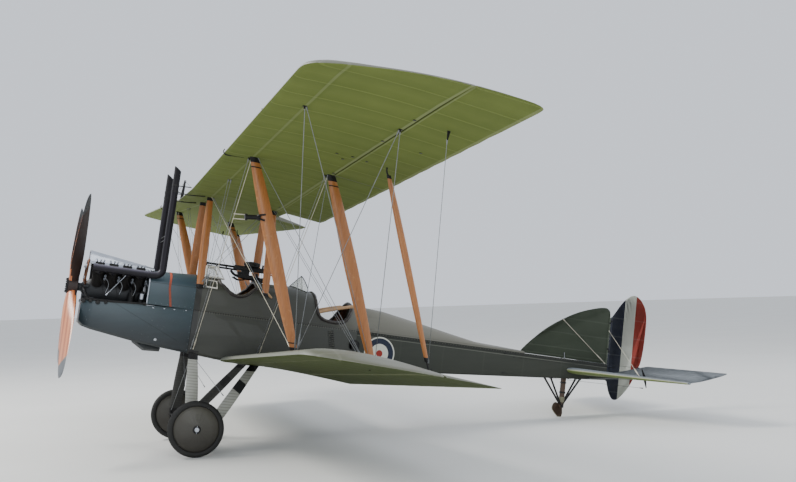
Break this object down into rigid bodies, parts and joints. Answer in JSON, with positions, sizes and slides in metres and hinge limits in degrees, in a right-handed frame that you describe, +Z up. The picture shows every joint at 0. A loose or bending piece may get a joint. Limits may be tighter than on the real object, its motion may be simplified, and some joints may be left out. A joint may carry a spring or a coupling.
{
  "type": "two-seat biplane aeroplane",
  "caption": "Fabric-covered two-seat biplane with long upper wings, wooden four-blade airscrew, exposed vee engine, open cockpits, wire bracing, parked on wheels and tail skid.",
  "frame": {"origin": "on the ground under the middle of the parked aeroplane's overall length and width", "axes": "+X to the port wing tip, +Y aft to the tail, +Z up, as parked on wheels and tail skid"},
  "size_m": [12.41, 8.3194, 3.7012],
  "materials": {
    "cowl_metal": "blue-grey enamel",
    "bright_aluminium": "satin",
    "black_metal": "black heat-proof paint",
    "doped_fabric": "dark olive-grey dope",
    "decking": "painted plywood",
    "wing_fabric": "translucent olive-green dope",
    "spruce": "varnished",
    "propeller_wood": "laminated, varnished",
    "steel_wire": "plain",
    "leg_wrap": "cord-wrapped, painted grey",
    "tyre_rubber": "matt",
    "wheel_fabric": "dark olive dope",
    "seat_leather": "tan",
    "celluloid": "clear sheet",
    "rudder_fabric": "blue, white and red stripes"
  },
  "bodies": {
    "airframe": {"nose_tray": "cowl_metal", "nose_top": "cowl_metal", "engine": "black_metal", "air_scoop": "bright_aluminium", "exhaust_port": "black_metal", "exhaust_starboard": "black_metal", "sump_blister": "cowl_metal", "cockpit_tub": "doped_fabric", "cockpit_decking": "decking", "rear_decking": "decking", "rear_fuselage": "doped_fabric", "seat_front": "seat_leather", "seat_rear": "seat_leather", "windscreen": "celluloid", "gun": "black_metal", "centre_section": "wing_fabric", "upper_wing_port": "wing_fabric", "upper_wing_starboard": "wing_fabric", "lower_wing_port": "wing_fabric", "lower_wing_starboard": "wing_fabric", "interplane_front_port": "spruce", "interplane_rear_port": "spruce", "interplane_front_starboard": "spruce", "interplane_rear_starboard": "spruce", "cabane_front_port": "spruce", "cabane_rear_port": "spruce", "cabane_front_starboard": "spruce", "cabane_rear_starboard": "spruce", "kingpost_front_port": "spruce", "kingpost_rear_port": "spruce", "kingpost_front_starboard": "spruce", "kingpost_rear_starboard": "spruce", "flying_wire_port": "steel_wire", "flying_wire_starboard": "steel_wire", "landing_wire_port": "steel_wire", "landing_wire_starboard": "steel_wire", "gear_legs_port": "leg_wrap", "gear_legs_starboard": "leg_wrap", "axle": "black_metal", "tailplane_port": "doped_fabric", "tailplane_starboard": "doped_fabric", "fin": "doped_fabric", "tail_skid": "spruce"},
    "airscrew": {"propeller": "propeller_wood", "propeller_boss": "black_metal"},
    "wheel_port": {"tyre_port": "tyre_rubber", "wheel_cover_port": "wheel_fabric"},
    "wheel_starboard": {"tyre_starboard": "tyre_rubber", "wheel_cover_starboard": "wheel_fabric"},
    "rudder": {"rudder": "rudder_fabric"},
    "elevators": {"elevators": "doped_fabric"},
    "upper_aileron_port": {"upper_aileron_port": "wing_fabric"},
    "lower_aileron_port": {"lower_aileron_port": "wing_fabric"},
    "aileron_link_port": {"aileron_link_port": "spruce"},
    "upper_aileron_starboard": {"upper_aileron_starboard": "wing_fabric"},
    "lower_aileron_starboard": {"lower_aileron_starboard": "wing_fabric"},
    "aileron_link_starboard": {"aileron_link_starboard": "spruce"}
  },
  "joints": [
    {"name": "propeller_spin", "type": "hinge", "parent": "airframe", "child": "airscrew", "pos_m": [0, -3.97189, 2.03052], "axis": [0, 0.9872, -0.1592], "continuous": true},
    {"name": "wheel_port_spin", "type": "hinge", "parent": "airframe", "child": "wheel_port", "pos_m": [0.884, -2.66675, 0.325], "axis": [1, 0, 0], "continuous": true},
    {"name": "wheel_starboard_spin", "type": "hinge", "parent": "airframe", "child": "wheel_starboard", "pos_m": [-0.884, -2.66675, 0.325], "axis": [1, 0, 0], "continuous": true},
    {"name": "rudder_swing", "type": "hinge", "parent": "airframe", "child": "rudder", "pos_m": [0, 3.47129, 0.83234], "axis": [0, 0.1592, 0.9872], "range_deg": [-25, 25]},
    {"name": "elevators_tilt", "type": "hinge", "parent": "airframe", "child": "elevators", "pos_m": [0, 3.3757, 0.56617], "axis": [1, 0, 0], "range_deg": [-46, 5]},
    {"name": "upper_aileron_port_tilt", "type": "hinge", "parent": "airframe", "child": "upper_aileron_port", "pos_m": [3.72, -1.46326, 3.10215], "axis": [0.9984, 0.009, 0.0558], "range_deg": [-20, 20]},
    {"name": "lower_aileron_port_tilt", "type": "hinge", "parent": "airframe", "child": "lower_aileron_port", "pos_m": [3.72, -1.1221, 1.05967], "axis": [0.9981, 0.0097, 0.0603], "range_deg": [-20, 20]},
    {"name": "aileron_link_port_pivot", "type": "hinge", "parent": "upper_aileron_port", "child": "aileron_link_port", "pos_m": [3.72, -1.25452, 2.98168], "axis": [0.9984, 0.009, 0.0558], "range_deg": [-20, 20]},
    {"name": "upper_aileron_starboard_tilt", "type": "hinge", "parent": "airframe", "child": "upper_aileron_starboard", "pos_m": [-3.72, -1.46326, 3.10215], "axis": [0.9984, -0.009, -0.0558], "range_deg": [-20, 20]},
    {"name": "lower_aileron_starboard_tilt", "type": "hinge", "parent": "airframe", "child": "lower_aileron_starboard", "pos_m": [-3.72, -1.1221, 1.05967], "axis": [0.9981, -0.0097, -0.0603], "range_deg": [-20, 20]},
    {"name": "aileron_link_starboard_pivot", "type": "hinge", "parent": "upper_aileron_starboard", "child": "aileron_link_starboard", "pos_m": [-3.72, -1.25452, 2.98168], "axis": [0.9984, -0.009, -0.0558], "range_deg": [-20, 20]}
  ],
  "couplings": [
    {"joint": "lower_aileron_port_tilt", "follows": "upper_aileron_port_tilt", "ratio": 1},
    {"joint": "aileron_link_port_pivot", "follows": "upper_aileron_port_tilt", "ratio": -1},
    {"joint": "upper_aileron_starboard_tilt", "follows": "upper_aileron_port_tilt", "ratio": -1},
    {"joint": "lower_aileron_starboard_tilt", "follows": "upper_aileron_port_tilt", "ratio": -1},
    {"joint": "aileron_link_starboard_pivot", "follows": "upper_aileron_port_tilt", "ratio": 1}
  ]
}
